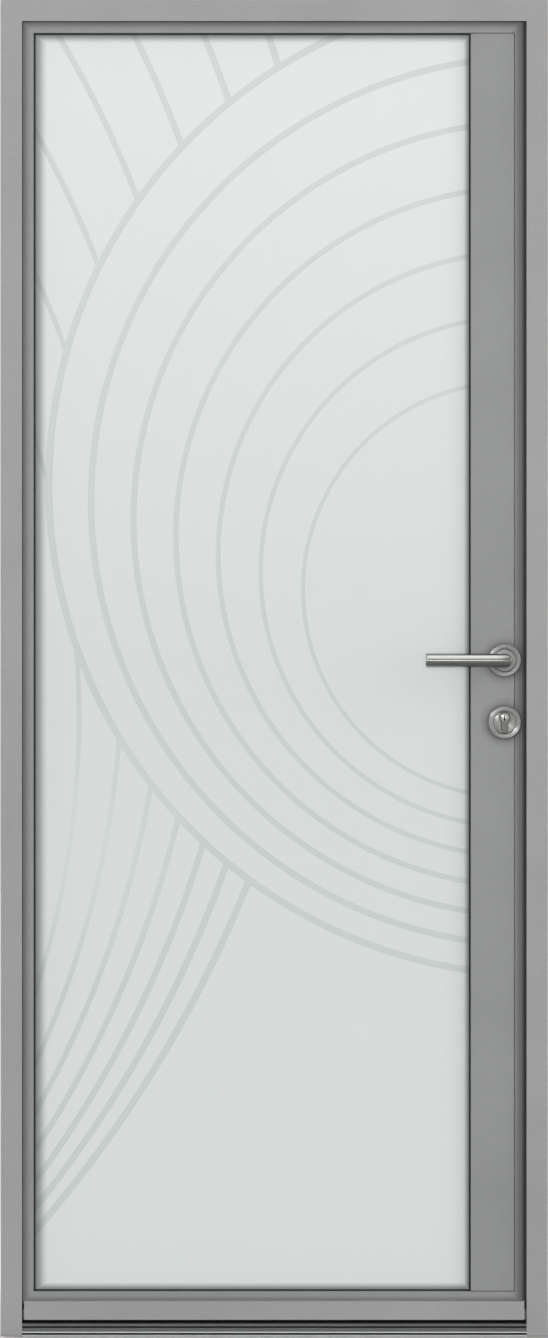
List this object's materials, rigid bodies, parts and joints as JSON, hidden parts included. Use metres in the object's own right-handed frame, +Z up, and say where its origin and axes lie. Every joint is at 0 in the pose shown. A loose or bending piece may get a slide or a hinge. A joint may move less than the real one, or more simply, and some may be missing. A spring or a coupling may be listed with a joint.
{
  "type": "exterior door",
  "caption": "Inward-opening glazed aluminium entrance door in its frame, with etched frosted glass, flush lock strip, lever handles, rod lock, drip bar and low threshold.",
  "frame": {"origin": "on the floor under the middle of the frame, half way through its depth", "axes": "+X to the lock side, +Y to the inside of the house, +Z up"},
  "size_m": [0.88, 0.184, 2.15],
  "materials": {
    "grey_coated_aluminium": "fine textured grey powder coat",
    "natural_aluminium": "natural anodised",
    "brushed_stainless": "brushed",
    "zinc_plated_steel": "zinc plated",
    "nickel_plated_brass": "satin nickel plated",
    "black_rubber": "matte",
    "black_polyamide": "glass fibre filled",
    "frosted_glass": "frosted with etched lines",
    "clear_glass": "clear"
  },
  "bodies": {
    "frame_set": {"hinge_jamb_outer": "grey_coated_aluminium", "hinge_jamb_inner": "grey_coated_aluminium", "lock_jamb_outer": "grey_coated_aluminium", "lock_jamb_inner": "grey_coated_aluminium", "head_outer": "grey_coated_aluminium", "head_inner": "grey_coated_aluminium", "frame_breaks": "black_polyamide", "frame_cleats": "natural_aluminium", "threshold_outer": "natural_aluminium", "threshold_inner": "natural_aluminium", "frame_seal": "black_rubber", "lock_keep": "brushed_stainless", "head_keep": "brushed_stainless", "hinge_jamb_flaps": "brushed_stainless", "hinge_pins": "brushed_stainless"},
    "leaf_set": {"hinge_stile_outer": "grey_coated_aluminium", "hinge_stile_inner": "grey_coated_aluminium", "lock_stile_outer": "grey_coated_aluminium", "lock_stile_inner": "grey_coated_aluminium", "top_rail_outer": "grey_coated_aluminium", "top_rail_inner": "grey_coated_aluminium", "bottom_rail_outer": "grey_coated_aluminium", "bottom_rail_inner": "grey_coated_aluminium", "lock_strip_outer": "grey_coated_aluminium", "lock_strip_inner": "grey_coated_aluminium", "hinge_side_bead": "grey_coated_aluminium", "lock_side_bead": "grey_coated_aluminium", "top_bead": "grey_coated_aluminium", "bottom_bead": "grey_coated_aluminium", "door_bottom": "grey_coated_aluminium", "drip_bar": "grey_coated_aluminium", "leaf_breaks": "black_polyamide", "setting_blocks": "black_polyamide", "leaf_cleats": "natural_aluminium", "lock_post": "natural_aluminium", "outer_pane": "frosted_glass", "inner_pane": "clear_glass", "pane_spacer": "black_rubber", "outer_gasket": "black_rubber", "inner_gasket": "black_rubber", "bottom_seal": "black_rubber", "hinge_leaf_flaps": "brushed_stainless", "lock_faceplate": "brushed_stainless", "outer_lever_rose": "brushed_stainless", "inner_lever_rose": "brushed_stainless", "outer_cylinder_rose": "brushed_stainless", "inner_cylinder_rose": "brushed_stainless", "lock_case": "zinc_plated_steel", "cylinder_body": "nickel_plated_brass"},
    "handle_set": {"outer_lever": "brushed_stainless", "inner_lever": "brushed_stainless", "spindle": "zinc_plated_steel", "follower": "zinc_plated_steel"},
    "latch_set": {"latch_bolt": "zinc_plated_steel"},
    "key_set": {"outer_plug": "nickel_plated_brass", "cylinder_cam": "nickel_plated_brass", "thumb_turn": "nickel_plated_brass"},
    "deadbolt_set": {"deadbolt": "zinc_plated_steel"},
    "upper_rod_set": {"upper_rod": "zinc_plated_steel"},
    "lower_rod_set": {"lower_rod": "zinc_plated_steel"}
  },
  "joints": [
    {"name": "door_swing", "type": "hinge", "parent": "frame_set", "child": "leaf_set", "pos_m": [-0.418, 0.052, 0], "axis": [0, 0, 1], "range_deg": [0, 110]},
    {"name": "lever_turn", "type": "hinge", "parent": "leaf_set", "child": "handle_set", "pos_m": [0.371, 0, 1.087], "axis": [0, -1, 0], "range_deg": [0, 40], "stiffness_Nm_per_rad": 2, "springref_deg": -20.05},
    {"name": "latch_slide", "type": "slide", "parent": "leaf_set", "child": "latch_set", "axis": [-1, 0, 0], "range_m": [0, 0.012]},
    {"name": "key_turn", "type": "hinge", "parent": "leaf_set", "child": "key_set", "pos_m": [0.371, 0, 0.995], "axis": [0, 1, 0], "range_deg": [0, 360]},
    {"name": "deadbolt_slide", "type": "slide", "parent": "leaf_set", "child": "deadbolt_set", "axis": [1, 0, 0], "range_m": [0, 0.02]},
    {"name": "upper_rod_slide", "type": "slide", "parent": "leaf_set", "child": "upper_rod_set", "axis": [0, 0, 1], "range_m": [0, 0.018]},
    {"name": "lower_rod_slide", "type": "slide", "parent": "leaf_set", "child": "lower_rod_set", "axis": [0, 0, -1], "range_m": [0, 0.018]}
  ],
  "couplings": [
    {"joint": "latch_slide", "follows": "lever_turn", "m_per_rad": 0.01718},
    {"joint": "key_turn", "follows": "upper_rod_slide", "rad_per_m": 349.06},
    {"joint": "deadbolt_slide", "follows": "upper_rod_slide", "ratio": 1.111},
    {"joint": "lower_rod_slide", "follows": "upper_rod_slide", "ratio": 1}
  ]
}
